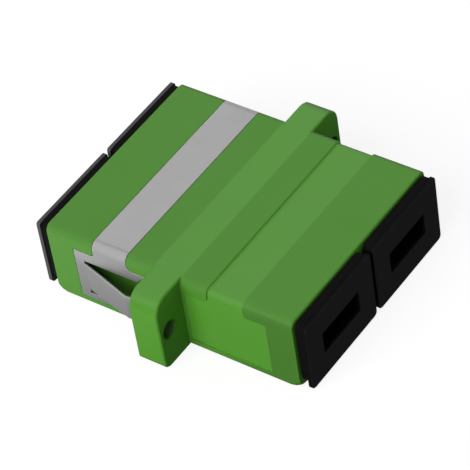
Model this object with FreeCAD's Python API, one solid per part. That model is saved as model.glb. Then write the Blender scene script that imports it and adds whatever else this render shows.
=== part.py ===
import FreeCAD, Part
import math
import os

# Duplex SC fibre adapter with screw flange, panel clip and dust caps.
# Millimetres, +Z up, X along the plugs, Y across the two channels.
# The origin is the centre of the adapter, on the joint between its two half housings.
# Each half is drawn with its port towards +X; the front half is the same thing turned half round Z.

V = FreeCAD.Vector

# Housing
body_width = 25.4
body_height = 9.5
half_length = 15.45
body_edge_radius = 0.9
body_lower_radius = 0.4
body_end_bevel = 0.12
end_corner_radius = 1.2
end_corner_run = 1.1
port_mouth_chamfer = 0.25

# Flange, half of it on each housing
flange_width = 34.1
flange_half_thickness = 1.75
flange_top_radius = 2.0
flange_bottom_radius = 1.0
flange_edge_bevel = 0.15
screw_hole_inset = 1.65
screw_hole_radius = 1.05
locating_pin_spacing = 25.6
locating_pin_radius = 0.6
locating_pin_length = 0.9
locating_pin_gap = 0.05

# Plug ports
port_pitch = 12.7
port_width = 9.1
port_height = 7.5
port_corner_radius = 0.3
keyway_width = 3.0
keyway_length = 6.0

# Seat of the panel clip, measured from the face of the flange
seat_setback = 0.3
strap_start = 3.3
strap_width = 4.45
side_plate_end = 10.4
side_plate_top = 2.97
side_plate_bottom = -3.88
strap_corner_radius = 0.8
tab_corner_radius = 0.4
foot_corner_radius = 0.5
seat_clearance = 0.02
flap_relief_depth = 1.0
flap_relief_overrun = 0.6

# Panel clip
clip_thickness = 0.18
clip_edge_gap = 0.08
window_top = 1.72
window_bottom = -3.05
arm_end = 2.3
flap_root = 9.15
flap_tip = 1.55
flap_top_at_root = 1.25
flap_top_at_tip = 1.5
flap_bottom_at_root = -2.46
flap_bottom_at_tip = -1.6
flap_angle = 17.5
flap_bend_radius = 0.4
flap_tip_length = 0.8
flap_tip_angle = -5.0
flap_root_lap = 0.4

# Inner latch holders and alignment sleeves
holder_plate_width = 10.0
holder_plate_thickness = 1.0
holder_clearance = 0.1
holder_seat_gap = 0.02
sleeve_outer_radius = 1.6
sleeve_inner_radius = 1.25
sleeve_length = 11.4
sleeve_slot = 0.5
sleeve_clearance = 0.1
barrel_wall = 0.65
barrel_lip_radius = 1.35
barrel_lip_length = 0.7
barrel_lead_in = 0.45
latch_setback = 6.45
latch_inner_offset = 3.0
latch_thickness = 0.75
latch_width = 3.0
hook_depth = 0.6
hook_length = 0.9
hook_flat = 0.35
hook_undercut = 0.1

# Dust caps
cap_clearance = 0.1
cap_shank_length = 6.0
cap_shank_wall = 0.8
cap_shank_radius = 0.4
cap_tip_chamfer = 0.3
cap_floor = 0.9
cap_collar_width = 11.8
cap_collar_height = 8.9
cap_collar_thickness = 0.9
cap_collar_top_radius = 0.7
cap_collar_bottom_radius = 1.8
cap_plate_width = 12.2
cap_plate_height = 8.75
cap_plate_thickness = 0.55
cap_plate_radius = 0.3
cap_seat_gap = 0.05
cap_recess_width = 6.7
cap_recess_height = 2.75
cap_recess_depth = 2.0


def unit(vector):
    """A copy of a vector with length one."""
    copy = V(vector)
    copy.normalize()
    return copy


def rounded_face(corners, place):
    """A flat face from (u, v, radius) corners; place turns u and v into a point in space."""
    points = [place(u, v) for u, v, radius in corners]
    starts, middles, ends = [], [], []
    for i, (u, v, radius) in enumerate(corners):
        corner = points[i]
        if radius == 0:
            starts.append(corner)
            middles.append(None)
            ends.append(corner)
            continue
        back = unit(points[i - 1] - corner)
        ahead = unit(points[(i + 1) % len(points)] - corner)
        half_angle = back.getAngle(ahead) / 2
        inward = unit(back + ahead)
        centre = corner + inward * (radius / math.sin(half_angle))
        starts.append(corner + back * (radius / math.tan(half_angle)))
        middles.append(centre - inward * radius)
        ends.append(corner + ahead * (radius / math.tan(half_angle)))
    edges = []
    for i, middle in enumerate(middles):
        if middle is not None:
            edges.append(Part.Arc(starts[i], middle, ends[i]).toShape())
        following = starts[(i + 1) % len(starts)]
        if (following - ends[i]).Length > 1e-7:
            edges.append(Part.LineSegment(ends[i], following).toShape())
    return Part.Face(Part.Wire(edges))


def bar_along_x(x_start, x_end, width, height, top_radius, bottom_radius=None, centre=(0, 0)):
    """A bar along X with a rounded rectangular section."""
    if bottom_radius is None:
        bottom_radius = top_radius
    y, z = centre
    corners = [
        (y - width / 2, z - height / 2, bottom_radius),
        (y + width / 2, z - height / 2, bottom_radius),
        (y + width / 2, z + height / 2, top_radius),
        (y - width / 2, z + height / 2, top_radius),
    ]
    face = rounded_face(corners, lambda u, v: V(x_start, u, v))
    return face.extrude(V(x_end - x_start, 0, 0))


def rod_along_x(x_start, x_end, radius, y=0, z=0):
    return Part.makeCylinder(radius, x_end - x_start, V(x_start, y, z), V(1, 0, 0))


def slab_across(corners, reach):
    """A side view outline of (x, z, radius) corners, carried across Y by reach each way."""
    face = rounded_face(corners, lambda u, v: V(u, -reach, v))
    return face.extrude(V(0, 2 * reach, 0))


def sheet_strip(path, thickness, bend_radius):
    """Corners of a bent strip: the path is its outer side, and the thickness lies to its right."""
    outer, inner = [], []
    for i, (x, y) in enumerate(path):
        sides = []
        if i > 0:
            sides.append((x - path[i - 1][0], y - path[i - 1][1]))
        if i < len(path) - 1:
            sides.append((path[i + 1][0] - x, path[i + 1][1] - y))
        normals = [(dy / math.hypot(dx, dy), -dx / math.hypot(dx, dy)) for dx, dy in sides]
        nx = sum(normal[0] for normal in normals) / len(normals)
        ny = sum(normal[1] for normal in normals) / len(normals)
        mitre = thickness / (nx * nx + ny * ny)
        radius = 0 if i in (0, len(path) - 1) else bend_radius
        outer.append((x, y, radius))
        inner.append((x + nx * mitre, y + ny * mitre, radius))
    return outer + inner[::-1]


def skin_block(inset):
    """The housing's top and sides moved in by inset, open below, over the clip's whole length."""
    height = body_height - inset + 1
    centre = (0, (body_height / 2 - inset) - height / 2)
    width = body_width - 2 * inset
    return bar_along_x(0, half_length, width, height, body_edge_radius - inset, 0, centre)


def clip_outline(gap):
    """Side view of the clip and its seat, drawn in by gap from the walls of the seat."""
    near = flange_half_thickness + seat_setback + gap
    far = flange_half_thickness + side_plate_end - gap
    strap_near = flange_half_thickness + strap_start + gap
    strap_far = flange_half_thickness + strap_start + strap_width - gap
    top = side_plate_top - gap
    above = body_height / 2 + 1
    corners = [
        (near, side_plate_bottom + gap, 0),
        (far, side_plate_bottom + gap, foot_corner_radius),
        (far, top, 0),
        (strap_far, top, tab_corner_radius),
        (strap_far, above, 0),
        (strap_near, above, 0),
        (strap_near, top, strap_corner_radius),
        (near, top, 0),
    ]
    return slab_across(corners, body_width / 2 + 1)


def flange_half():
    """Half of the flange, with the edge of its outer face bevelled."""
    plate = bar_along_x(0, flange_half_thickness, flange_width, body_height,
                        flange_top_radius, flange_bottom_radius)
    rim = [edge for edge in plate.Edges
           if all(abs(vertex.X - flange_half_thickness) < 1e-6 for vertex in edge.Vertexes)]
    return plate.makeChamfer(flange_edge_bevel, rim)


def port_cuts(side):
    """The plug port, the holder's pocket and the keyway of one channel."""
    y = side * port_pitch / 2
    pocket_width = holder_plate_width + 2 * holder_clearance
    pocket_depth = holder_plate_thickness + holder_seat_gap
    port = bar_along_x(-1, half_length + 1, port_width, port_height, port_corner_radius, None, (y, 0))
    pocket = bar_along_x(-1, pocket_depth, pocket_width, port_height, port_corner_radius, None, (y, 0))
    keyway = Part.makeBox(keyway_length + 1, keyway_width, body_height / 2,
                          V(half_length - keyway_length, y - keyway_width / 2, -body_height / 2 - 1))
    mouth = port_mouth(y)
    return port.fuse([pocket, keyway, mouth])


def end_outline(bar):
    """The outline of the end of a bar that lies towards -X."""
    return min(bar.Faces, key=lambda face: face.CenterOfMass.x).OuterWire


def lofted_bar(stations, centre=(0, 0)):
    """A bar along X, straight from one (x, width, height, top radius, bottom radius) to the next."""
    wires = [end_outline(bar_along_x(x, x + 1, width, height, top_radius, bottom_radius, centre))
             for x, width, height, top_radius, bottom_radius in stations]
    return Part.makeLoft(wires, True, True)


def port_mouth(y):
    """The bevel round the mouth of a port."""
    radius = port_corner_radius
    grow = 2 * port_mouth_chamfer
    stations = [(half_length - port_mouth_chamfer, port_width, port_height, radius, radius),
                (half_length, port_width + grow, port_height + grow, radius, radius)]
    return lofted_bar(stations, (y, 0))


def body_bar():
    """The body, with lower corners that open out to a large radius at its end, and a bevelled end."""
    run_start = half_length - end_corner_run
    run = end_corner_run - body_end_bevel
    stations = [(run_start, body_width, body_height, body_edge_radius, body_lower_radius)]
    for share in (0.6, 1.0):
        radius = body_lower_radius + share * share * (end_corner_radius - body_lower_radius)
        stations.append((run_start + share * run, body_width, body_height, body_edge_radius, radius))
    stations.append((half_length, body_width - 2 * body_end_bevel, body_height - 2 * body_end_bevel,
                     body_edge_radius - body_end_bevel, end_corner_radius))
    bar = bar_along_x(0, run_start, body_width, body_height, body_edge_radius, body_lower_radius)
    return bar.fuse(lofted_bar(stations))


def half_housing():
    """One half housing, with its port towards +X."""
    solid = body_bar().fuse(flange_half())
    solid = solid.cut([port_cuts(-1), port_cuts(1)])
    solid = solid.cut(clip_outline(0).cut(skin_block(clip_thickness + seat_clearance)))
    hole_offset = flange_width / 2 - screw_hole_inset
    holes = [rod_along_x(-1, flange_half_thickness + 1, screw_hole_radius, side * hole_offset)
             for side in (-1, 1)]
    socket = rod_along_x(-1, locating_pin_length + locating_pin_gap,
                         locating_pin_radius + locating_pin_gap, -locating_pin_spacing / 2)
    pin = rod_along_x(-locating_pin_length, 0, locating_pin_radius, locating_pin_spacing / 2)
    return solid.cut(holes + [socket]).fuse(pin).removeSplitter()


def flap_relief():
    """The deeper parts of the seat that take the spring flaps when they are pressed flat."""
    start = flange_half_thickness + seat_setback
    end = flange_half_thickness + flap_root + flap_relief_overrun
    floor = body_width / 2 - clip_thickness - seat_clearance - flap_relief_depth
    reliefs = [Part.makeBox(end - start, flap_relief_depth + 1, window_top - window_bottom,
                            V(start, y, window_bottom)) for y in (floor, -floor - flap_relief_depth - 1)]
    return reliefs[0].fuse(reliefs[1])


def clip_window():
    """The opening in the side plates round the spring flaps, open towards the flange."""
    root = flange_half_thickness + flap_root
    arm_low = flange_half_thickness + arm_end
    slant = side_plate_top - window_top + 1
    corners = [
        (root, window_top, 0),
        (root, window_bottom, 0),
        (0, window_bottom, 0),
        (0, window_top + slant, 0),
        (arm_low - slant, window_top + slant, 0),
        (arm_low, window_top, 0),
    ]
    return slab_across(corners, body_width / 2 + 1)


def spring_flap():
    """One spring flap on the +Y side plate, bent out at its root and eased at its tip."""
    root = flange_half_thickness + flap_root
    tip = flange_half_thickness + flap_tip
    outer = body_width / 2
    tip_run = flap_tip_length * math.cos(math.radians(flap_tip_angle))
    tip_rise = flap_tip_length * math.sin(math.radians(flap_tip_angle))
    rise = (root - tip - tip_run) * math.tan(math.radians(flap_angle))
    path = [
        (tip, outer + rise + tip_rise),
        (tip + tip_run, outer + rise),
        (root, outer),
        (root + flap_root_lap, outer),
    ]
    corners = [
        (root + flap_root_lap, flap_top_at_root, 0),
        (root + flap_root_lap, flap_bottom_at_root, 0),
        (root, flap_bottom_at_root, 0),
        (tip, flap_bottom_at_tip, 0),
        (tip, flap_top_at_tip, 0),
        (root, flap_top_at_root, 0),
    ]
    strip = rounded_face(sheet_strip(path, clip_thickness, flap_bend_radius),
                         lambda u, v: V(u, v, window_bottom))
    strip = strip.extrude(V(0, 0, window_top - window_bottom))
    return strip.common(slab_across(corners, flange_width))


def panel_clip():
    """The folded steel clip: a strap over the top and two side plates with spring flaps."""
    sheet = skin_block(0).cut(skin_block(clip_thickness))
    sheet = sheet.common(clip_outline(clip_edge_gap))
    sheet = sheet.cut(clip_window())
    flap = spring_flap()
    return sheet.fuse([flap, flap.mirror(V(0, 0, 0), V(0, 1, 0))]).removeSplitter()


def latch_arm():
    """One latch arm of a holder, on its +Y side, with the hook turned in to the channel's axis."""
    inner = latch_inner_offset
    outer = inner + latch_thickness
    reach = half_length - latch_setback
    hook_start = reach - hook_length
    hook_tip = inner - hook_depth
    corners = [
        (holder_plate_thickness / 2, inner, 0),
        (hook_start, inner, 0),
        (hook_start + hook_undercut, hook_tip, 0),
        (hook_start + hook_undercut + hook_flat, hook_tip, 0),
        (reach, inner, 0),
        (reach, outer, latch_thickness / 3),
        (holder_plate_thickness / 2, outer, 0),
    ]
    face = rounded_face(corners, lambda u, v: V(u, v, -latch_width / 2))
    return face.extrude(V(0, 0, latch_width))


def latch_holder():
    """One inner holder: base plate, barrel for half of the sleeve, and two latch arms."""
    bore = sleeve_outer_radius + sleeve_clearance
    bore_end = sleeve_length / 2 + sleeve_clearance
    barrel_end = bore_end + barrel_lip_length
    plate = bar_along_x(0, holder_plate_thickness, holder_plate_width,
                        port_height - 2 * holder_clearance, port_corner_radius)
    barrel = rod_along_x(0, barrel_end, bore + barrel_wall)
    arm = latch_arm()
    solid = plate.fuse([barrel, arm, arm.mirror(V(0, 0, 0), V(0, 1, 0))])
    lead_in = Part.makeCone(barrel_lip_radius, barrel_lip_radius + barrel_lead_in, barrel_lead_in,
                            V(barrel_end - barrel_lead_in, 0, 0), V(1, 0, 0))
    cuts = [rod_along_x(-1, bore_end, bore), rod_along_x(0, barrel_end + 1, barrel_lip_radius), lead_in]
    return solid.cut(cuts).removeSplitter()


def alignment_sleeve():
    """A split sleeve, centred on the joint, with its slot on top."""
    half = sleeve_length / 2
    tube = rod_along_x(-half, half, sleeve_outer_radius)
    tube = tube.cut(rod_along_x(-half - 1, half + 1, sleeve_inner_radius))
    slot = Part.makeBox(sleeve_length + 2, sleeve_slot, sleeve_outer_radius + 1,
                        V(-half - 1, -sleeve_slot / 2, 0))
    return tube.cut(slot)


def dust_cap():
    """A dust cap, with the end of the housing at x = 0 and its shank towards -X."""
    shank_width = port_width - 2 * cap_clearance
    shank_height = port_height - 2 * cap_clearance
    collar_end = cap_seat_gap + cap_collar_thickness
    face_at = collar_end + cap_plate_thickness
    tip_end = cap_tip_chamfer - cap_shank_length
    slim = 2 * cap_tip_chamfer
    radius = cap_shank_radius
    shank = bar_along_x(tip_end, collar_end, shank_width, shank_height, radius)
    tip = lofted_bar([(-cap_shank_length, shank_width - slim, shank_height - slim, radius, radius),
                      (tip_end, shank_width, shank_height, radius, radius)])
    collar = bar_along_x(cap_seat_gap, collar_end, cap_collar_width, cap_collar_height,
                         cap_collar_top_radius, cap_collar_bottom_radius)
    plate = bar_along_x(collar_end, face_at, cap_plate_width, cap_plate_height, cap_plate_radius)
    recess = Part.makeBox(cap_recess_depth + 1, cap_recess_width, cap_recess_height,
                          V(face_at - cap_recess_depth, -cap_recess_width / 2, -cap_recess_height / 2))
    hollow_end = face_at - cap_recess_depth - cap_floor
    hollow = bar_along_x(-cap_shank_length - 1, hollow_end, shank_width - 2 * cap_shank_wall,
                         shank_height - 2 * cap_shank_wall, cap_shank_radius)
    return shank.fuse([tip, collar, plate]).cut([recess, hollow]).removeSplitter()


def placed(shape, end, side=0, x=0):
    """A copy drawn for the rear, moved to its channel and, for the front, turned half round Z."""
    copy = shape.copy()
    copy.translate(V(x, 0, 0))
    if end == "front":
        copy.rotate(V(0, 0, 0), V(0, 0, 1), 180)
    copy.translate(V(0, side * port_pitch / 2, 0))
    return copy


def pieces():
    """Every piece of the adapter by name. Left is +Y, as seen from behind the front plug."""
    sides = {"left": 1, "right": -1}
    housing = half_housing()
    holder = latch_holder()
    cap = dust_cap()
    parts = {"panel_clip": placed(panel_clip(), "front")}
    for side, sign in sides.items():
        parts["alignment_sleeve_" + side] = placed(alignment_sleeve(), "rear", sign)
    parts["housing_front"] = placed(housing.cut(flap_relief()), "front")
    parts["housing_rear"] = placed(housing, "rear")
    for end in ("front", "rear"):
        for side, sign in sides.items():
            parts["latch_holder_" + end + "_" + side] = placed(holder, end, sign)
            parts["dust_cap_" + end + "_" + side] = placed(cap, end, sign, half_length)
    return parts


os.makedirs("parts", exist_ok=True)
for name, shape in pieces().items():
    shape.exportStep("parts/" + name + ".step")
    print(name, "solids", len(shape.Solids), "valid", shape.isValid(), "volume", round(shape.Volume, 2))
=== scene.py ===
import math

import bpy
import numpy as np
from mathutils import Matrix, Vector


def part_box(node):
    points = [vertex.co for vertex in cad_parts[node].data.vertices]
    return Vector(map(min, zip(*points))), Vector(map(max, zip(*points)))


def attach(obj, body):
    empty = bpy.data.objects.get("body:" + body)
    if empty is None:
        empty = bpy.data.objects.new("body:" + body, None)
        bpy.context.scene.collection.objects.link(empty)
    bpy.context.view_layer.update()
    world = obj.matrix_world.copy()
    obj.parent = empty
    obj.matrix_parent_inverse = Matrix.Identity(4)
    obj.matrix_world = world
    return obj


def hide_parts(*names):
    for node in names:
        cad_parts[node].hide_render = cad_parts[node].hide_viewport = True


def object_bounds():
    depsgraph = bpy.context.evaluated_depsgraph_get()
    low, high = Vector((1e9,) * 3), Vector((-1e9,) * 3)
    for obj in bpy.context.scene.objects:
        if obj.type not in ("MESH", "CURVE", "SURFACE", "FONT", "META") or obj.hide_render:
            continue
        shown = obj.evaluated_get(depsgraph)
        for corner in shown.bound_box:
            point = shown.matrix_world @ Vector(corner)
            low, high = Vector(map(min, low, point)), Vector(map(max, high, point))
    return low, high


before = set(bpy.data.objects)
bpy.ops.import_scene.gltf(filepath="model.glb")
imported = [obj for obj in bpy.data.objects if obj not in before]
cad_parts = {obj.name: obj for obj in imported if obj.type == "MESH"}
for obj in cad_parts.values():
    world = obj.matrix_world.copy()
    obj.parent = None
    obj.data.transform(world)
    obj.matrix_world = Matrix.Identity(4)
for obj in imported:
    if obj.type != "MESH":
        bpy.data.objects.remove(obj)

bl_info = {
    "name": "Duplex fibre adapter",
    "version": (1, 0, 0),
    "blender": (4, 5, 0),
    "location": "View3D > Sidebar > Adapter",
    "description": "Builds the looks of a duplex fibre adapter over its packed frame",
    "category": "Object",
}

BOX_AT_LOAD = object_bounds()
ENDS = {"front": -1, "rear": 1}
SIDES = ("left", "right")

# The housing's measures in metres, with places along X counted from the joint between the halves
HALF_LENGTH, HALF_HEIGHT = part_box("housing_rear")[1].x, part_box("housing_rear")[1].z
BODY_HALF_WIDTH, BODY_EDGE_RADIUS = 0.0127, 0.0009
PAST_FLANGE = 0.00176
SEAT_START, SEAT_END = 0.0019, 0.0130
SEAT_DEPTHS, SEAT_LEVELS = (0.00012, 0.0016), (-0.0040, 0.0030)
SCREW_OFFSET, SCREW_EDGE = 0.0154, (0.00106, 0.00125)
WING_START = 0.0160
BARE_START, BARE_FADE, REAR_SIDE_SHADE_SPAN = 0.0018, (0.0020, 0.0065), (0.002, 0.013)
SKIN_HEIGHTS = (-0.00012, -0.00004)
END_EDGE = (HALF_LENGTH - 0.00014, HALF_LENGTH - 0.00002)

# The part of a normal along one axis at which a face starts, and ends, to count as facing that way
FACING_PARTS = (0.6, 0.9)

# Factors that lighten or darken the housing's green by region: tones of its finish, painted shade and painted
# light, and the painted-light green of the seat's low walls
SKIN_TONES, PLAIN_TONES = (0.88, 0.98), (1.03, 1.12)
LEANING_SHADE, SEAT_SHADE, REAR_SHADE, HOLE_EDGE_SHADE = 0.80, 0.72, 0.90, 0.55
REAR_SIDE_SHADE, BARE_PAINTED_LIGHT, END_EDGE_HIGHLIGHT = 0.72, 0.16, 1.15
STEP_PAINTED_LIGHT = (0.19, 0.54, 0.09, 1.0)
HOUSING_GLOSS, WING_DULLNESS = (0.8, 0.1), 0.6

# Factors on the steel's grey and on the caps' black, most of them painted shade or painted highlights
FOLD_SHADE, PLATE_SHADE, EDGE_HIGHLIGHT = 0.86, 0.78, 1.8
WALL_SHADE, RIM_HIGHLIGHT, CAP_EDGE_HIGHLIGHT, RECESS_TONE, CAP_GLOSS = 0.35, 7.0, 1.6, 0.15, 0.12

# The clip's two bends, as places along Y, and the heights between which its side plates get a painted shade
FOLD_PLACE, FOLD_HALF_SPAN, FOLD_BLUR, FOLD_ABOVE = 0.01185, 0.00012, 0.0001, 0.0039
PLATE_LEVELS = (0.0004, 0.0024)

# Each lamp's direction from the object, and its spread in degrees
KEY_LAMP = ((-0.09, -0.82, 0.50), 56)
SIDE_LAMP = ((0.45, 0.80, 0.25), 60)

# The floor's glow to the camera and to the underside, and its greys: unseen, seen and in gloss
FLOOR_GLOW, FLOOR_LIFT, FLOOR_GREYS = 0.86, 0.11, (0.15, 0.20, 0.04)

# What gloss mirrors: from one place to another, the level goes from the third number to the fourth
FLOOR_POOL, SKY_POOL = (0.010, 0.027, 0.10, 0.85), (0.5, -0.3, 0.06, 0.95)


# Properties

class AdapterColours(bpy.types.PropertyGroup):
    """Colours of the adapter's materials."""

    housing: bpy.props.FloatVectorProperty(
        name="Housing", description="Green of the moulded housings",
        subtype="COLOR", size=3, default=(0.074, 0.270, 0.021), min=0, max=1)
    clip: bpy.props.FloatVectorProperty(
        name="Clip", description="Grey of the cold rolled steel",
        subtype="COLOR", size=3, default=(0.53, 0.525, 0.53), min=0, max=1)
    cap: bpy.props.FloatVectorProperty(
        name="Caps", description="Black of the dust caps",
        subtype="COLOR", size=3, default=(0.013, 0.0128, 0.013), min=0, max=1)
    holder: bpy.props.FloatVectorProperty(
        name="Latch holders", description="Plain colour of the inner mouldings",
        subtype="COLOR", size=3, default=(0.66, 0.64, 0.58), min=0, max=1)
    sleeve: bpy.props.FloatVectorProperty(
        name="Sleeves", description="White of the ground ceramic",
        subtype="COLOR", size=3, default=(0.80, 0.79, 0.75), min=0, max=1)


class AdapterSurface(bpy.types.PropertyGroup):
    """Sizes of the adapter's surface detail."""

    edge_radius: bpy.props.FloatProperty(
        name="Moulded edge", description="Radius that softens the housings' edges",
        unit="LENGTH", precision=6, default=0.00010, min=0)
    spark_size: bpy.props.FloatProperty(
        name="Spark texture", description="Size of the grains that the mould's spark finish leaves",
        unit="LENGTH", precision=6, default=0.00016, min=0)
    spark_depth: bpy.props.FloatProperty(
        name="Spark depth", description="Depth of those grains",
        unit="LENGTH", precision=6, default=0.000006, min=0)


class AdapterCaps(bpy.types.PropertyGroup):
    """Sizes of a dust cap, measured from the end of the housing."""

    shank_length: bpy.props.FloatProperty(
        name="Shank", description="Length of the shank inside the port",
        unit="LENGTH", precision=6, default=0.0060, min=0)
    shank_size: bpy.props.FloatVectorProperty(
        name="Shank section", description="Width and height of the shank",
        unit="LENGTH", size=2, precision=6, default=(0.0089, 0.0073))
    shank_wall: bpy.props.FloatProperty(
        name="Shank wall", description="Thickness of the hollow shank's wall",
        unit="LENGTH", precision=6, default=0.0008, min=0)
    seat_gap: bpy.props.FloatProperty(
        name="Seat gap", description="Space between the housing and the collar",
        unit="LENGTH", precision=6, default=0.00005, min=0)
    collar_size: bpy.props.FloatVectorProperty(
        name="Collar", description="Thickness, width and height of the collar",
        unit="LENGTH", size=3, precision=6, default=(0.0009, 0.0120, 0.0089))
    plate_size: bpy.props.FloatVectorProperty(
        name="Plate", description="Thickness, width and height of the outer plate",
        unit="LENGTH", size=3, precision=6, default=(0.00055, 0.0122, 0.00875))
    recess_size: bpy.props.FloatVectorProperty(
        name="Recess", description="Depth, width and height of the recess in the plate",
        unit="LENGTH", size=3, precision=6, default=(0.0020, 0.0067, 0.00275))
    floor: bpy.props.FloatProperty(
        name="Floor", description="Thickness between the recess and the hollow shank",
        unit="LENGTH", precision=6, default=0.0009, min=0)
    bevel: bpy.props.FloatProperty(
        name="Bevel", description="Width of the small bevels on the collar and the plate",
        unit="LENGTH", precision=6, default=0.00009, min=0)


class AdapterStage(bpy.types.PropertyGroup):
    """Camera, floor and light."""

    camera_place: bpy.props.FloatVectorProperty(
        name="Camera", description="Where the camera stands",
        subtype="TRANSLATION", unit="LENGTH", size=3, default=(0.144448, -0.166863, 0.210437))
    camera_aim: bpy.props.FloatVectorProperty(
        name="Aim", description="Point in the middle of the picture",
        subtype="TRANSLATION", unit="LENGTH", size=3, default=(-0.000221, -0.000613, -0.000332))
    camera_roll: bpy.props.FloatProperty(
        name="Roll", description="Turn of the camera about its line of sight",
        subtype="ANGLE", default=math.radians(-9.75))
    lens: bpy.props.FloatProperty(
        name="Lens", description="Focal length in millimetres on a 36 mm sensor", default=221.76)
    key_strength: bpy.props.FloatProperty(
        name="Key light", description="Strength of the main soft light", default=3.05, min=0)
    side_strength: bpy.props.FloatProperty(
        name="Side light", description="Strength of the light on the far sides", default=0.85, min=0)
    sky_strength: bpy.props.FloatProperty(
        name="Sky", description="Strength of the light from all round", default=0.20, min=0)


# Node trees

def fill(tree, node, values):
    """Fills a node's inputs, by name or number, with constants or links."""
    for name, value in values.items():
        if isinstance(value, bpy.types.NodeSocket):
            tree.links.new(value, node.inputs[name])
        else:
            node.inputs[name].default_value = value


def add(tree, kind, values=None, **settings):
    """Adds a node with its settings, and fills its inputs."""
    node = tree.nodes.new(kind)
    for name, value in settings.items():
        setattr(node, name, value)
    fill(tree, node, values or {})
    return node


def maths(tree, operation, *terms):
    """One step of arithmetic on numbers or sockets."""
    return add(tree, "ShaderNodeMath", dict(enumerate(terms)), operation=operation).outputs[0]


def magnitude(tree, value):
    """A value without its sign."""
    return maths(tree, "ABSOLUTE", value)


def times(tree, product, *factors):
    """The product of several numbers or sockets."""
    for factor in factors:
        product = maths(tree, "MULTIPLY", product, factor)
    return product


def inside(tree, value, low, high):
    """1 where a value lies between two levels, and 0 elsewhere."""
    return times(tree, maths(tree, "GREATER_THAN", value, low), maths(tree, "LESS_THAN", value, high))


def ramp(tree, value, low, high, out_low=0.0, out_high=1.0):
    """A smooth step of a value from one level to another."""
    node = add(tree, "ShaderNodeMapRange",
               {"Value": value, "From Min": low, "From Max": high, "To Min": out_low, "To Max": out_high},
               interpolation_type="SMOOTHSTEP")
    return node.outputs[0]


def fade(tree, share, start, end):
    """A number that goes smoothly from start to end as a share goes from 0 to 1."""
    return ramp(tree, share, 0.0, 1.0, start, end)


def split(tree, vector):
    """The three parts of a vector."""
    return tuple(add(tree, "ShaderNodeSeparateXYZ", {0: vector}).outputs)


def facing(tree):
    """The three parts of the surface's own normal."""
    return split(tree, add(tree, "ShaderNodeNewGeometry").outputs["Normal"])


def mixed(tree, share, first, second):
    """A colour between two, by a share from 0 to 1."""
    return add(tree, "ShaderNodeMix", {0: share, 6: first, 7: second}, data_type="RGBA").outputs[2]


def scaled(tree, colour, factor):
    """A colour made lighter or darker by a number."""
    return add(tree, "ShaderNodeVectorMath", {0: colour, "Scale": factor}, operation="SCALE").outputs[0]


def tint(colour, factor):
    """A constant colour made lighter or darker, with its alpha."""
    return tuple(min(1.0, c * factor) for c in colour) + (1.0,)


def grey(level):
    """A constant grey."""
    return (level, level, level, 1.0)


def noise(tree, place, size, detail=2.0, roughness=0.5):
    """Soft random levels whose grains are about size metres across."""
    node = add(tree, "ShaderNodeTexNoise",
               {"Vector": place, "Scale": 1.0 / size, "Detail": detail, "Roughness": roughness})
    return node.outputs[0]


def rough_by(tree, levels, share, base):
    """A roughness that rises from a base by a share of some noise."""
    return maths(tree, "ADD", times(tree, levels, share), base)


def relief(tree, height, strength, depth, normal):
    """A normal with fine relief added to it."""
    node = add(tree, "ShaderNodeBump",
               {"Strength": strength, "Distance": depth, "Height": height, "Normal": normal})
    return node.outputs[0]


def start_material(name):
    """An empty material with one shader: its tree, shader and object coordinates."""
    material = bpy.data.materials.new(name)
    material.use_nodes = True
    tree = material.node_tree
    tree.nodes.clear()
    shader = add(tree, "ShaderNodeBsdfPrincipled")
    output = add(tree, "ShaderNodeOutputMaterial", {"Surface": shader.outputs[0]})
    output.is_active_output = True
    place = add(tree, "ShaderNodeTexCoord").outputs["Object"]
    return material, tree, shader, place


def soft_edges(tree, radius, where=None):
    """The surface normal with its edges rounded, and how far each point lies on such an edge.

    where, if given, is a share from 0 to 1 that fades the rounding out.
    """
    rounded = add(tree, "ShaderNodeBevel", {"Radius": radius}, samples=6).outputs[0]
    true = add(tree, "ShaderNodeNewGeometry").outputs["Normal"]
    agreement = add(tree, "ShaderNodeVectorMath", {0: rounded, 1: true}, operation="DOT_PRODUCT")
    edge = ramp(tree, agreement.outputs["Value"], 0.99, 0.75)
    if where is None:
        return rounded, edge
    blend = add(tree, "ShaderNodeMix", {0: where, 4: true, 5: rounded}, data_type="VECTOR")
    return blend.outputs[1], times(tree, edge, where)


# Materials

def skin_mask(tree, spot):
    """1 on the body's raised skin, and 0 in the clip's seat, on the flange and underneath.

    The body is a bar with rounded edges. With q = (|y|, z) less the middle of that rounding, a point's
    height over the bar is |max(q, 0)| + min(max(q.y, q.z), 0) less the radius: 0 on the skin.
    """
    x, y, z = spot
    across = maths(tree, "SUBTRACT", magnitude(tree, y), BODY_HALF_WIDTH - BODY_EDGE_RADIUS)
    up = maths(tree, "SUBTRACT", z, HALF_HEIGHT - BODY_EDGE_RADIUS)
    beyond = add(tree, "ShaderNodeCombineXYZ",
                 {0: maths(tree, "MAXIMUM", across, 0.0), 1: maths(tree, "MAXIMUM", up, 0.0)})
    beyond = add(tree, "ShaderNodeVectorMath", {0: beyond.outputs[0]}, operation="LENGTH").outputs["Value"]
    within = maths(tree, "MINIMUM", maths(tree, "MAXIMUM", across, up), 0.0)
    height = maths(tree, "SUBTRACT", maths(tree, "ADD", beyond, within), BODY_EDGE_RADIUS)
    off_flange = maths(tree, "GREATER_THAN", magnitude(tree, x), PAST_FLANGE)
    return times(tree, ramp(tree, height, *SKIN_HEIGHTS), off_flange)


def seat_mask(tree, spot):
    """1 on the front half's sides, in the clip's seat and in its deep part behind the spring flaps."""
    x, y, z = spot
    along = inside(tree, x, -SEAT_END, -SEAT_START)
    depth = maths(tree, "SUBTRACT", BODY_HALF_WIDTH, magnitude(tree, y))
    return times(tree, along, inside(tree, depth, *SEAT_DEPTHS), inside(tree, z, *SEAT_LEVELS))


def step_mask(tree, spot, turned):
    """1 on the low walls that face along X at the ends of the clip's seat."""
    endways = maths(tree, "GREATER_THAN", magnitude(tree, turned[0]), FACING_PARTS[0])
    return times(tree, endways, inside(tree, magnitude(tree, spot[0]), SEAT_START, SEAT_END))


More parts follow.
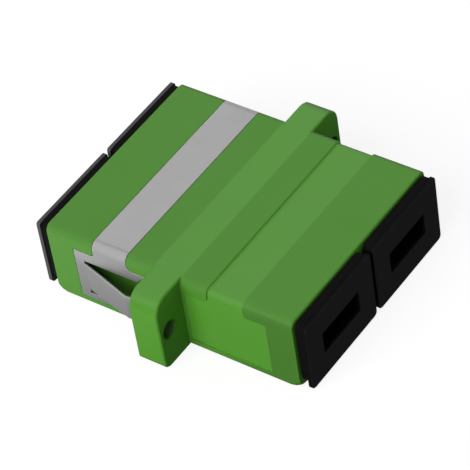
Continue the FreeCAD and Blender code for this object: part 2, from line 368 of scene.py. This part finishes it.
def hole_shade(tree, spot):
    """Painted shade on the screw holes' broken edges, by r = sqrt((|y| - offset)^2 + z^2) from a hole's axis.
    """
    across = maths(tree, "SUBTRACT", magnitude(tree, spot[1]), SCREW_OFFSET)
    square = maths(tree, "ADD", times(tree, across, across), times(tree, spot[2], spot[2]))
    return ramp(tree, maths(tree, "SQRT", square), *SCREW_EDGE, HOLE_EDGE_SHADE, 1.0)


def side_shade(tree, spot, turned, skin):
    """Painted light and shade on the two sides.

    The raised skin gets a painted shade towards the rear ports, and the bare seat a painted light by the
    flange.
    """
    sideways = ramp(tree, magnitude(tree, turned[1]), 0.7, 0.95)
    # Painted shade on the raised skin, darker towards the rear ports
    painted_side_shade = times(tree, sideways, skin, ramp(tree, spot[0], *REAR_SIDE_SHADE_SPAN))
    bare = times(tree, sideways, maths(tree, "SUBTRACT", 1.0, skin),
                 maths(tree, "GREATER_THAN", spot[0], BARE_START))
    # Painted light: the seat by the flange is lightened where the wing shades it
    lighter = times(tree, bare, ramp(tree, spot[0], *BARE_FADE, BARE_PAINTED_LIGHT, 0.0))
    return maths(tree, "ADD", fade(tree, painted_side_shade, 1.0, REAR_SIDE_SHADE), lighter)


def end_highlight(tree, spot):
    """A painted highlight on the narrow edge round each end of the housing."""
    return fade(tree, inside(tree, magnitude(tree, spot[0]), *END_EDGE), 1.0, END_EDGE_HIGHLIGHT)


def housing_colour(tree, green, spot, turned, skin, seat, grains, clouds):
    """The green by region: skin and plain tones, with painted shade on leaning edge bands, in the seat, round
    the screw holes, on the sides and on faces towards the rear, and painted light on the low walls and by the
    flange.
    """
    skin_colour = mixed(tree, grains, *(tint(green, tone) for tone in SKIN_TONES))
    plain_colour = mixed(tree, clouds, *(tint(green, tone) for tone in PLAIN_TONES))
    colour = mixed(tree, skin, plain_colour, skin_colour)
    # Painted shade: the rounded bands between top and sides are darkened, as the lamps light them more than
    # the flat faces
    leaning = magnitude(tree, times(tree, turned[1], turned[2]))
    colour = scaled(tree, colour, ramp(tree, leaning, 0.0, 0.5, 1.0, LEANING_SHADE))
    # Painted light: the low walls at the seat's ends get a lighter, greyer green in place of the gloss they
    # lack
    colour = mixed(tree, step_mask(tree, spot, turned), colour, STEP_PAINTED_LIGHT)
    # Painted shade: faces towards the rear, away from the key light, are darkened
    rearward = ramp(tree, turned[0], *FACING_PARTS, 1.0, REAR_SHADE)
    # Painted shade in the clip's seat and behind the spring flaps, painted shade round the screw holes,
    # painted light and shade on the sides, and painted shade on faces towards the rear
    for shade in (fade(tree, seat, 1.0, SEAT_SHADE), hole_shade(tree, spot),
                  side_shade(tree, spot, turned, skin), rearward):
        colour = scaled(tree, colour, shade)
    return colour


def housing_gloss(tree, spot, turned, seat):
    """The specular level, lower in the seat, on faces towards the rear and on the wings' outer faces."""
    wing = times(tree, maths(tree, "GREATER_THAN", magnitude(tree, spot[1]), WING_START),
                 ramp(tree, magnitude(tree, turned[1]), *FACING_PARTS, 0.0, WING_DULLNESS))
    dull = maths(tree, "MAXIMUM", seat, ramp(tree, turned[0], *FACING_PARTS))
    return fade(tree, maths(tree, "MAXIMUM", dull, wing), *HOUSING_GLOSS)


def housing_material(colours, surface):
    """Moulded green plastic: spark finish on the raised skin, smoother in the seat and on the flange."""
    material, tree, shader, place = start_material("green_moulding")
    spot, turned = split(tree, place), facing(tree)
    off_joint = ramp(tree, magnitude(tree, spot[0]), 0.0002, 0.0004)
    rounded, edge = soft_edges(tree, surface.edge_radius, off_joint)
    skin, seat = skin_mask(tree, spot), seat_mask(tree, spot)
    grains = noise(tree, place, surface.spark_size, 3.0, 0.6)
    clouds = noise(tree, place, 0.006, 2.0, 0.45)
    colour = housing_colour(tree, colours.housing, spot, turned, skin, seat, grains, clouds)
    # Painted highlight: the rounded edges are lightened
    colour = mixed(tree, times(tree, edge, 0.2), colour, tint(colours.housing, 1.5))
    grain = times(tree, grains, fade(tree, skin, 0.35, 1.0))
    fill(tree, shader, {
        "Base Color": scaled(tree, colour, end_highlight(tree, spot)),
        "Roughness": rough_by(tree, clouds, 0.08, fade(tree, skin, 0.50, 0.60)),
        "Specular IOR Level": housing_gloss(tree, spot, turned, seat),
        "Normal": relief(tree, grain, 0.6, surface.spark_depth, rounded),
    })
    return material


def clip_shade(tree, spot):
    """Painted shade: faint dark lines along the strap's two bends, and side plates that are a little darker
    lower down.
    """
    across = maths(tree, "SUBTRACT", magnitude(tree, spot[1]), FOLD_PLACE)
    line = maths(tree, "SUBTRACT", magnitude(tree, across), FOLD_HALF_SPAN)
    upper = maths(tree, "GREATER_THAN", spot[2], FOLD_ABOVE)
    fold = fade(tree, times(tree, upper, ramp(tree, line, FOLD_BLUR, 0.0)), 1.0, FOLD_SHADE)
    return times(tree, fold, ramp(tree, spot[2], *PLATE_LEVELS, PLATE_SHADE, 1.0))


def steel_material(colours, surface):
    """Dull cold rolled steel: fine rolling lines along the strip, and a painted highlight on the sheared
    edges.
    """
    material, tree, shader, place = start_material("rolled_steel")
    rounded, edge = soft_edges(tree, surface.edge_radius * 0.9)
    stretched = add(tree, "ShaderNodeMapping", {"Vector": place, "Scale": (1.0, 0.06, 0.06)})
    lines = noise(tree, stretched.outputs[0], 0.00009, 2.0, 0.6)
    clouds = noise(tree, place, 0.003, 3.0, 0.5)
    colour = mixed(tree, clouds, tint(colours.clip, 0.94), tint(colours.clip, 1.04))
    colour = scaled(tree, colour, clip_shade(tree, split(tree, place)))
    fill(tree, shader, {
        # Painted highlight along the sheared edges
        "Base Color": mixed(tree, edge, colour, tint(colours.clip, EDGE_HIGHLIGHT)),
        "Metallic": 0.85,
        "Roughness": rough_by(tree, lines, 0.12, 0.52),
        "Normal": relief(tree, lines, 0.35, 0.000002, rounded),
    })
    return material


def recess_shade(tree, spot, from_face, caps):
    """Darkens the inside of a plate's recess, which lies in the plate's own shade."""
    low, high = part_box("dust_cap_rear_left")
    past_wall = 0.00002
    across = magnitude(tree, maths(tree, "SUBTRACT", magnitude(tree, spot[1]), (low.y + high.y) / 2))
    within = maths(tree, "LESS_THAN", across, caps.recess_size[1] / 2 + past_wall)
    level = maths(tree, "LESS_THAN", magnitude(tree, spot[2]), caps.recess_size[2] / 2 + past_wall)
    deep = times(tree, within, level, ramp(tree, from_face, 0.0001, 0.0005))
    return fade(tree, deep, 1.0, RECESS_TONE)


def cap_material(colours, surface, caps):
    """Matt black moulded plastic, with a painted highlight on the rims of the front caps' plates."""
    material, tree, shader, place = start_material("black_moulding")
    spot, turned = split(tree, place), facing(tree)
    rounded, edge = soft_edges(tree, surface.edge_radius)
    grains = noise(tree, place, surface.spark_size * 0.8, 3.0, 0.6)
    clouds = noise(tree, place, 0.004, 2.0, 0.5)
    from_face = maths(tree, "SUBTRACT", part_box("dust_cap_rear_left")[1].x, magnitude(tree, spot[0]))
    endways = magnitude(tree, turned[0])
    # Painted shade: the caps' faces that do not face along X are darkened, and made less glossy
    walls = ramp(tree, endways, 0.8, 0.5, 1.0, WALL_SHADE)
    # Painted highlight on the rims of the front caps' plates, whose rounded edges face the light
    lit_rim = times(tree, ramp(tree, endways, 0.8, 0.5), maths(tree, "LESS_THAN", from_face, caps.plate_size[0]),
                ramp(tree, spot[0], 0.005, -0.005))
    colour = mixed(tree, clouds, tint(colours.cap, 0.85), tint(colours.cap, 1.2))
    colour = mixed(tree, lit_rim, scaled(tree, colour, walls), tint(colours.cap, RIM_HIGHLIGHT))
    # Painted highlight: the rounded edges are lightened
    colour = mixed(tree, times(tree, edge, 0.5), colour, tint(colours.cap, CAP_EDGE_HIGHLIGHT))
    fill(tree, shader, {
        "Base Color": scaled(tree, colour, recess_shade(tree, spot, from_face, caps)),
        "Roughness": rough_by(tree, clouds, 0.12, 0.55),
        "Specular IOR Level": times(tree, walls, CAP_GLOSS),
        "Normal": relief(tree, grains, 0.5, surface.spark_depth, rounded),
    })
    return material


def holder_material(colours, surface):
    """Plain unpigmented moulding, slightly uneven in tone."""
    material, tree, shader, place = start_material("natural_moulding")
    rounded, edge = soft_edges(tree, surface.edge_radius)
    clouds = noise(tree, place, 0.002, 3.0, 0.5)
    colour = mixed(tree, clouds, tint(colours.holder, 0.93), tint(colours.holder, 1.04))
    fill(tree, shader, {
        # Painted highlight: the rounded edges are lightened
        "Base Color": mixed(tree, edge, colour, tint(colours.holder, 1.1)),
        "Roughness": rough_by(tree, clouds, 0.15, 0.38),
        "Normal": relief(tree, clouds, 0.3, surface.spark_depth, rounded),
    })
    return material


def sleeve_material(colours, surface):
    """Ground ceramic: fine rings from the grinding, under a gloss."""
    material, tree, shader, place = start_material("ground_ceramic")
    rounded, edge = soft_edges(tree, surface.edge_radius * 0.4)
    stretched = add(tree, "ShaderNodeMapping", {"Vector": place, "Scale": (1.0, 0.05, 0.05)})
    rings = noise(tree, stretched.outputs[0], 0.00008, 2.0, 0.5)
    colour = mixed(tree, rings, tint(colours.sleeve, 0.96), tint(colours.sleeve, 1.03))
    fill(tree, shader, {
        # Painted highlight: the rounded edges are lightened
        "Base Color": mixed(tree, edge, colour, tint(colours.sleeve, 1.1)),
        "Roughness": rough_by(tree, rings, 0.1, 0.16),
        "IOR": 2.1,
        "Normal": relief(tree, rings, 0.2, 0.000001, rounded),
    })
    return material


def dress(material, *names):
    """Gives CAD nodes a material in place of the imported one."""
    for name in names:
        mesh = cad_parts[name].data
        mesh.materials.clear()
        mesh.materials.append(material)


# Operators

class FinishHousings(bpy.types.Operator):
    """Finish the two moulded housings"""

    bl_idname = "adapter.finish_housings"
    bl_label = "Housings"

    def execute(self, context):
        scene = context.scene
        dress(housing_material(scene.adapter_colours, scene.adapter_surface), "housing_front", "housing_rear")
        return {"FINISHED"}


class FinishClip(bpy.types.Operator):
    """Finish the folded steel clip"""

    bl_idname = "adapter.finish_clip"
    bl_label = "Panel clip"

    def execute(self, context):
        scene = context.scene
        dress(steel_material(scene.adapter_colours, scene.adapter_surface), "panel_clip")
        return {"FINISHED"}


def ring_surface(stations, corner_steps):
    """Rings of a rounded rectangle carried along X, and the faces that join each to the next.

    A station is (x, half width a, half height b, upper corner radius, lower corner radius). In each
    quarter, t runs over a right angle and the ring's point is the corner's centre (a - r, b - r),
    turned to that quarter, plus r (cos t, sin t).
    """
    x, half_width, half_height, upper, lower = np.array(stations).T[:, :, None]
    quarter = np.arange(4)[:, None] * np.pi / 2 + np.linspace(0, np.pi / 2, corner_steps + 1)
    turn = quarter.ravel()
    side = np.repeat([1, -1, -1, 1], corner_steps + 1)
    level = np.repeat([1, 1, -1, -1], corner_steps + 1)
    radius = np.where(level > 0, upper, lower)
    y = side * (half_width - radius) + radius * np.cos(turn)
    z = level * (half_height - radius) + radius * np.sin(turn)
    points = np.stack([np.broadcast_to(x, y.shape), y, z], axis=2)
    rings, count = y.shape
    here = np.arange(count)
    first = np.arange(rings - 1)[:, None] * count
    ahead = (here + 1) % count
    quads = np.stack([first + here, first + ahead, first + count + ahead, first + count + here], axis=2)
    faces = quads.reshape(-1, 4).tolist() + [here[::-1].tolist(), ((rings - 1) * count + here).tolist()]
    return points.reshape(-1, 3), faces


def cap_stations(caps):
    """The cap's section from the floor of its hollow shank, round its tip and plate, to the recess's floor.

    The pairs at the stations' ends are the ring's upper and lower corner radii.
    """
    shank_a, shank_b = caps.shank_size[0] / 2, caps.shank_size[1] / 2
    collar_a, collar_b = caps.collar_size[1] / 2, caps.collar_size[2] / 2
    plate_a, plate_b = caps.plate_size[1] / 2, caps.plate_size[2] / 2
    depth, recess_a, recess_b = caps.recess_size[0], caps.recess_size[1] / 2, caps.recess_size[2] / 2
    wall, bevel, draft, tip = caps.shank_wall, caps.bevel, 0.00008, 0.0003
    collar_bevel = 1.6 * bevel
    seat, back = caps.seat_gap, caps.seat_gap + caps.collar_size[0]
    face = back + caps.plate_size[0]
    hollow = face - depth - caps.floor
    shank, recess = (0.0004, 0.0004), (0.0001, 0.0001)
    collar_under, collar, plate = (0.0006, 0.0017), (0.0007, 0.0018), (0.0003, 0.0005)
    return [
        (hollow, shank_a - wall - draft, shank_b - wall - draft, *shank),
        (-caps.shank_length, shank_a - wall, shank_b - wall, *shank),
        (-caps.shank_length, shank_a - tip, shank_b - tip, *shank),
        (tip - caps.shank_length, shank_a, shank_b, *shank),
        (seat, shank_a, shank_b, *shank),
        (seat, collar_a - collar_bevel, collar_b - collar_bevel, *collar_under),
        (seat + collar_bevel, collar_a, collar_b, *collar),
        (back, collar_a, collar_b, *collar),
        (back, plate_a - bevel / 4, plate_b - bevel / 4, *plate),
        (back + bevel / 4, plate_a, plate_b, *plate),
        (face - bevel, plate_a, plate_b, *plate),
        (face, plate_a - bevel, plate_b - bevel, *plate),
        (face, recess_a + bevel / 2, recess_b + bevel / 2, *recess),
        (face - bevel / 2, recess_a, recess_b, *recess),
        (face - depth, recess_a - draft, recess_b - draft, *recess),
    ]


class FinishCaps(bpy.types.Operator):
    """Make the four dust caps as hollow moulded pieces with small bevels"""

    bl_idname = "adapter.finish_caps"
    bl_label = "Dust caps"

    def execute(self, context):
        scene = context.scene
        material = cap_material(scene.adapter_colours, scene.adapter_surface, scene.adapter_caps)
        shape, faces = ring_surface(cap_stations(scene.adapter_caps), corner_steps=10)
        for end, towards in ENDS.items():
            for side in SIDES:
                node = f"dust_cap_{end}_{side}"
                low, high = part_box(node)
                points = (shape + (HALF_LENGTH, 0, 0)) * (towards, towards, 1)
                points[:, 1] += (low.y + high.y) / 2
                mesh = bpy.data.meshes.new(f"cap_{end}_{side}_moulding")
                mesh.from_pydata(points.tolist(), [], faces)
                mesh.shade_smooth()
                mesh.set_sharp_from_angle(angle=math.radians(25))
                mesh.materials.append(material)
                cap = bpy.data.objects.new(f"cap_{end}_{side}_moulding", mesh)
                scene.collection.objects.link(cap)
                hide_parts(node)
                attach(cap, f"cap_{end}_{side}")
        return {"FINISHED"}


class FinishInnerPieces(bpy.types.Operator):
    """Finish the latch holders and the alignment sleeves"""

    bl_idname = "adapter.finish_inner_pieces"
    bl_label = "Inner pieces"

    def execute(self, context):
        scene = context.scene
        colours, surface = scene.adapter_colours, scene.adapter_surface
        names = [f"latch_holder_{end}_{side}" for end in ENDS for side in SIDES]
        dress(holder_material(colours, surface), *names)
        dress(sleeve_material(colours, surface), *[f"alignment_sleeve_{side}" for side in SIDES])
        return {"FINISHED"}


def add_camera(stage):
    """A camera at the picture's viewing angle, turned about its line of sight."""
    data = bpy.data.cameras.new("camera")
    data.sensor_width = 36.0
    data.lens = stage.lens
    data.clip_start, data.clip_end = 0.01, 5.0
    camera = bpy.data.objects.new("camera", data)
    bpy.context.scene.collection.objects.link(camera)
    place, aim = Vector(stage.camera_place), Vector(stage.camera_aim)
    sight = (aim - place).normalized()
    level = sight.cross(Vector((0, 0, 1))).normalized()
    rise = level.cross(sight)
    right = level * math.cos(stage.camera_roll) + rise * math.sin(stage.camera_roll)
    up = right.cross(sight)
    turn = Matrix((right, up, -sight)).transposed().to_4x4()
    camera.matrix_world = Matrix.Translation(place) @ turn
    bpy.context.scene.camera = camera


def add_lamp(name, lamp, strength):
    """A soft light from a far place.

    The sky and the floor alone give the gloss, so the lamps leave no hot bands on the rounded edges.
    """
    towards, spread = lamp
    data = bpy.data.lights.new(name, "SUN")
    data.energy = strength
    data.angle = math.radians(spread)
    light = bpy.data.objects.new(name, data)
    bpy.context.scene.collection.objects.link(light)
    light.rotation_euler = Vector(towards).to_track_quat("Z", "Y").to_euler()
    light.visible_glossy = False


def seen_by_camera(tree):
    """The kinds of ray, and 1 for those that the camera sends straight or through clear things."""
    rays = add(tree, "ShaderNodeLightPath").outputs
    return rays, maths(tree, "MAXIMUM", rays["Is Camera Ray"], rays["Is Transmission Ray"])


def floor_material():
    """A pale floor: white to the camera, keeping the object's shadow.

    In gloss it is brighter towards the key light, and it lifts the underside with a little diffuse glow.
    """
    material = bpy.data.materials.new("pale_floor")
    material.use_nodes = True
    tree = material.node_tree
    tree.nodes.clear()
    rays, seen = seen_by_camera(tree)
    x, y, _ = split(tree, add(tree, "ShaderNodeTexCoord").outputs["Object"])
    to_key = times(tree, maths(tree, "ADD", x, y), -0.707)
    mirrored = times(tree, rays["Is Glossy Ray"], ramp(tree, to_key, *FLOOR_POOL))
    lifted = times(tree, rays["Is Diffuse Ray"], FLOOR_LIFT)
    glow = maths(tree, "MAXIMUM", times(tree, seen, FLOOR_GLOW), maths(tree, "MAXIMUM", mirrored, lifted))
    glow = add(tree, "ShaderNodeEmission", {"Color": grey(1.0), "Strength": glow})
    unseen_grey, seen_grey, gloss_grey = (grey(level) for level in FLOOR_GREYS)
    paint = mixed(tree, seen, unseen_grey, seen_grey)
    paint = mixed(tree, rays["Is Glossy Ray"], paint, gloss_grey)
    lit = add(tree, "ShaderNodeBsdfDiffuse", {"Color": paint})
    both = add(tree, "ShaderNodeAddShader", {0: lit.outputs[0], 1: glow.outputs[0]})
    clear = add(tree, "ShaderNodeBsdfTransparent")
    under = add(tree, "ShaderNodeNewGeometry").outputs["Backfacing"]
    shown = add(tree, "ShaderNodeMixShader", {0: under, 1: both.outputs[0], 2: clear.outputs[0]})
    add(tree, "ShaderNodeOutputMaterial", {"Surface": shown.outputs[0]})
    return material


def add_floor(level):
    """A wide level sheet under the object: a grid of corners, joined row by row."""
    reach, count = 1.5, 5
    across = np.linspace(-reach, reach, count)
    xs, ys = np.meshgrid(across, across)
    points = np.stack([xs.ravel(), ys.ravel(), np.full(xs.size, level)], axis=1)
    first = (np.arange(count - 1)[:, None] * count + np.arange(count - 1)).ravel()
    faces = np.stack([first, first + 1, first + count + 1, first + count], axis=1)
    mesh = bpy.data.meshes.new("floor")
    mesh.from_pydata(points.tolist(), [], faces.tolist())
    mesh.materials.append(floor_material())
    floor = bpy.data.objects.new("floor", mesh)
    bpy.context.scene.collection.objects.link(floor)


def set_world(strength):
    """Even light from all round: white where the camera sees it, and in gloss dimmer towards +X."""
    world = bpy.data.worlds.new("studio")
    bpy.context.scene.world = world
    world.use_nodes = True
    tree = world.node_tree
    tree.nodes.clear()
    rays, seen = seen_by_camera(tree)
    sight = split(tree, add(tree, "ShaderNodeTexCoord").outputs["Generated"])
    mirrored = times(tree, rays["Is Glossy Ray"], ramp(tree, sight[0], *SKY_POOL))
    level = maths(tree, "MAXIMUM", maths(tree, "MAXIMUM", seen, mirrored), strength)
    back = add(tree, "ShaderNodeBackground", {"Color": grey(1.0), "Strength": level})
    add(tree, "ShaderNodeOutputWorld", {"Surface": back.outputs[0]})


class BuildStage(bpy.types.Operator):
    """Add the camera, the floor and the lights"""

    bl_idname = "adapter.build_stage"
    bl_label = "Stage"

    def execute(self, context):
        stage = context.scene.adapter_stage
        context.scene.view_settings.view_transform = "Standard"
        add_camera(stage)
        add_floor(BOX_AT_LOAD[0].z)
        add_lamp("key", KEY_LAMP, stage.key_strength)
        add_lamp("side", SIDE_LAMP, stage.side_strength)
        set_world(stage.sky_strength)
        return {"FINISHED"}


class AdapterPanel(bpy.types.Panel):
    """The adapter's pieces and stage"""

    bl_idname = "VIEW3D_PT_adapter"
    bl_label = "Fibre adapter"
    bl_space_type = "VIEW_3D"
    bl_region_type = "UI"
    bl_category = "Adapter"

    def draw(self, context):
        layout = self.layout
        for operator in OPERATORS:
            layout.operator(operator.bl_idname)
        for group in (getattr(context.scene, name) for name in GROUPS):
            column = layout.column()
            for name in group.__annotations__:
                column.prop(group, name)


OPERATORS = (FinishHousings, FinishClip, FinishCaps, FinishInnerPieces, BuildStage)
GROUPS = {
    "adapter_colours": AdapterColours,
    "adapter_surface": AdapterSurface,
    "adapter_caps": AdapterCaps,
    "adapter_stage": AdapterStage,
}


def register():
    for group in GROUPS.values():
        bpy.utils.register_class(group)
    for name, group in GROUPS.items():
        setattr(bpy.types.Scene, name, bpy.props.PointerProperty(type=group))
    for operator in OPERATORS:
        bpy.utils.register_class(operator)
    bpy.utils.register_class(AdapterPanel)


def unregister():
    bpy.utils.unregister_class(AdapterPanel)
    for operator in reversed(OPERATORS):
        bpy.utils.unregister_class(operator)
    for name, group in GROUPS.items():
        delattr(bpy.types.Scene, name)
        bpy.utils.unregister_class(group)


def main():
    register()
    bpy.ops.adapter.finish_housings()
    bpy.ops.adapter.finish_clip()
    bpy.ops.adapter.finish_caps()
    bpy.ops.adapter.finish_inner_pieces()
    bpy.ops.adapter.build_stage()


if __name__ == "__main__":
    main()
